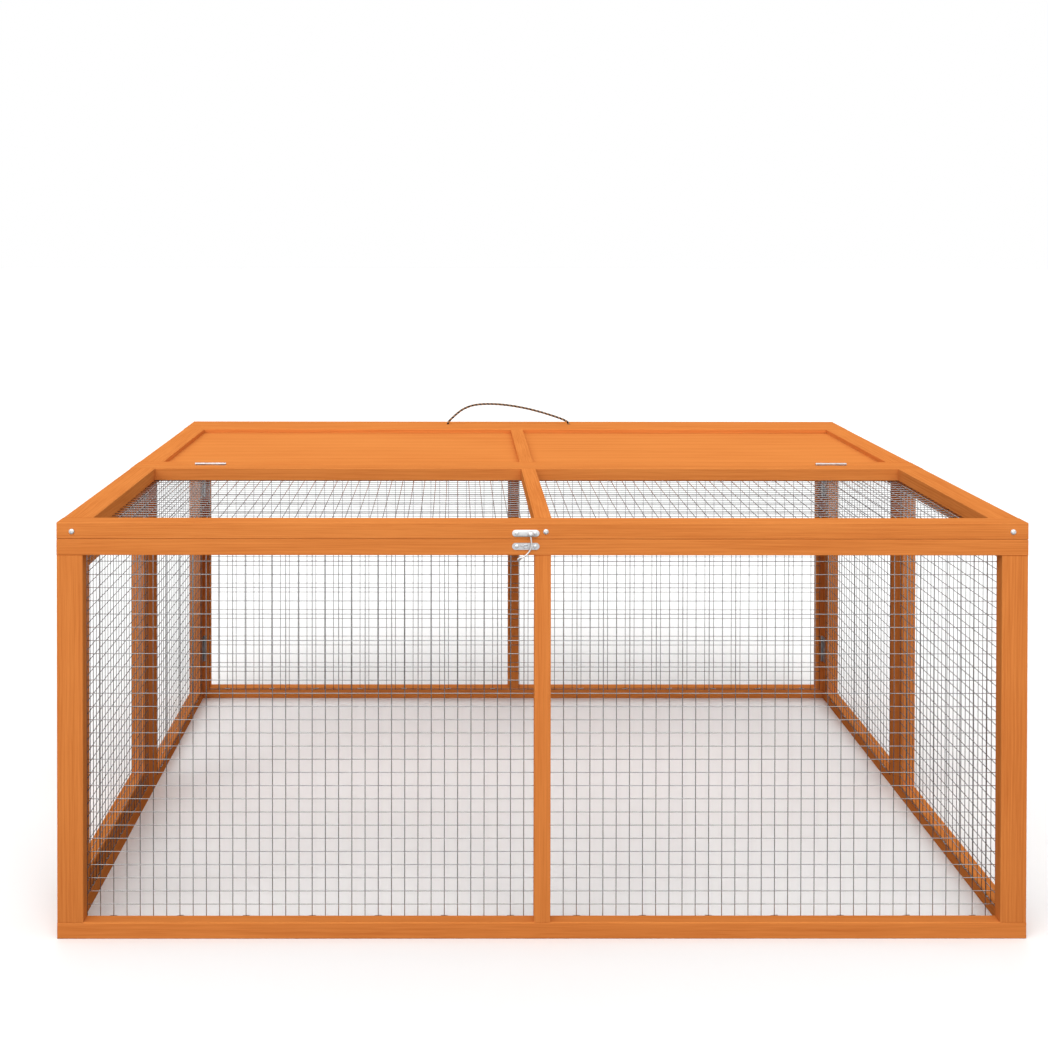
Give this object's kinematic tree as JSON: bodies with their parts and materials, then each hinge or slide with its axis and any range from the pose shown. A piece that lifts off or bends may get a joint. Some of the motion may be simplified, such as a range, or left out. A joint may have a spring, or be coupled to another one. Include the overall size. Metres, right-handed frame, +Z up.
{
  "type": "outdoor rabbit run",
  "caption": "Folding outdoor run for rabbits: stained wood frames with welded-mesh walls, a side door, a hooked mesh lid hinged to a solid roof half, and a rope handle.",
  "frame": {"origin": "centre of the rectangular footprint of the wood frames, on the ground under the bottom rails", "axes": "+X to the run's right as seen from the front, +Y to the rear (the roped board), +Z up; the front wall with its hook is at -Y"},
  "size_m": [1.2037, 0.979, 0.5512],
  "materials": {
    "stained_fir": "orange-brown stain, matt, fine straight grain",
    "roof_panel": "stained plywood, lighter, matt",
    "galvanised_wire": "dull zinc grey",
    "plated_steel": "bright zinc plating",
    "rope": "twisted brown and beige strands"
  },
  "bodies": {
    "base": {"rear_top_rail": "stained_fir", "rear_bottom_rail": "stained_fir", "rear_left_stile": "stained_fir", "rear_right_stile": "stained_fir", "rear_centre_stile": "stained_fir", "rear_mesh": "galvanised_wire", "rear_board": "stained_fir", "rope_handle": "rope", "roof_front_rail": "stained_fir", "roof_rear_rail": "stained_fir", "roof_left_rail": "stained_fir", "roof_right_rail": "stained_fir", "roof_centre_bar": "stained_fir", "roof_panels": "roof_panel", "base_hinges": "plated_steel"},
    "front_lid": {"lid_front_rail": "stained_fir", "lid_rear_rail": "stained_fir", "lid_left_rail": "stained_fir", "lid_right_rail": "stained_fir", "lid_centre_bar": "stained_fir", "lid_mesh": "galvanised_wire", "lid_hinges": "plated_steel", "lid_fittings": "plated_steel"},
    "front_hook": {"front_hook": "plated_steel"},
    "side_hook": {"side_hook": "plated_steel"},
    "left_rear_panel": {"left_rear_top_rail": "stained_fir", "left_rear_bottom_rail": "stained_fir", "left_rear_corner_stile": "stained_fir", "left_rear_mid_stile": "stained_fir", "left_rear_mesh": "galvanised_wire", "left_rear_hinges": "plated_steel"},
    "left_front_panel": {"left_front_top_rail": "stained_fir", "left_front_bottom_rail": "stained_fir", "left_front_corner_stile": "stained_fir", "left_front_mid_stile": "stained_fir", "left_front_fittings": "plated_steel"},
    "left_door": {"left_door_rails": "stained_fir", "left_door_stiles": "stained_fir", "left_door_mesh": "galvanised_wire", "left_door_hinges": "plated_steel"},
    "door_button": {"door_button": "plated_steel"},
    "front_wall": {"front_top_rail": "stained_fir", "front_bottom_rail": "stained_fir", "front_left_stile": "stained_fir", "front_right_stile": "stained_fir", "front_centre_stile": "stained_fir", "front_mesh": "galvanised_wire", "front_fittings": "plated_steel"},
    "right_rear_panel": {"right_rear_top_rail": "stained_fir", "right_rear_bottom_rail": "stained_fir", "right_rear_corner_stile": "stained_fir", "right_rear_mid_stile": "stained_fir", "right_rear_mesh": "galvanised_wire", "right_rear_hinges": "plated_steel"},
    "right_front_panel": {"right_front_top_rail": "stained_fir", "right_front_bottom_rail": "stained_fir", "right_front_corner_stile": "stained_fir", "right_front_mid_stile": "stained_fir", "right_front_mesh": "galvanised_wire", "right_front_hinges": "plated_steel"}
  },
  "joints": [
    {"name": "lid_hinge", "type": "hinge", "parent": "base", "child": "front_lid", "pos_m": [0, -0.0344, 0.5139], "axis": [-1, 0, 0], "range_deg": [0, 180]},
    {"name": "front_hook_swing", "type": "hinge", "parent": "front_lid", "child": "front_hook", "pos_m": [-0.0151, -0.491, 0.4992], "axis": [0, -1, 0], "range_deg": [0, 75]},
    {"name": "side_hook_swing", "type": "hinge", "parent": "front_lid", "child": "side_hook", "pos_m": [-0.601, -0.1359, 0.5032], "axis": [-1, 0, 0], "range_deg": [0, 75]},
    {"name": "left_rear_fold", "type": "hinge", "parent": "base", "child": "left_rear_panel", "pos_m": [-0.5725, 0.4625, 0], "axis": [0, 0, 1], "range_deg": [0, 90]},
    {"name": "left_mid_fold", "type": "hinge", "parent": "left_rear_panel", "child": "left_front_panel", "pos_m": [-0.5975, 0, 0], "axis": [0, 0, 1], "range_deg": [-180, 0]},
    {"name": "left_front_corner", "type": "hinge", "parent": "left_front_panel", "child": "front_wall", "pos_m": [-0.5725, -0.4625, 0], "axis": [0, 0, 1], "range_deg": [0, 90]},
    {"name": "right_rear_fold", "type": "hinge", "parent": "base", "child": "right_rear_panel", "pos_m": [0.5725, 0.4625, 0], "axis": [0, 0, 1], "range_deg": [-90, 0]},
    {"name": "right_mid_fold", "type": "hinge", "parent": "right_rear_panel", "child": "right_front_panel", "pos_m": [0.5975, 0, 0], "axis": [0, 0, 1], "range_deg": [0, 180]},
    {"name": "left_door_hinge", "type": "hinge", "parent": "left_front_panel", "child": "left_door", "pos_m": [-0.5968, -0.43185, 0], "axis": [0, 0, -1], "range_deg": [-170, 0]},
    {"name": "door_button_turn", "type": "hinge", "parent": "left_front_panel", "child": "door_button", "pos_m": [-0.595, -0.0162, 0.2464], "axis": [-1, 0, 0], "range_deg": [0, 90]}
  ],
  "couplings": [
    {"joint": "left_mid_fold", "follows": "left_rear_fold", "ratio": -2},
    {"joint": "left_front_corner", "follows": "left_rear_fold", "ratio": 1},
    {"joint": "right_rear_fold", "follows": "left_rear_fold", "ratio": -1},
    {"joint": "right_mid_fold", "follows": "left_rear_fold", "ratio": 2}
  ]
}
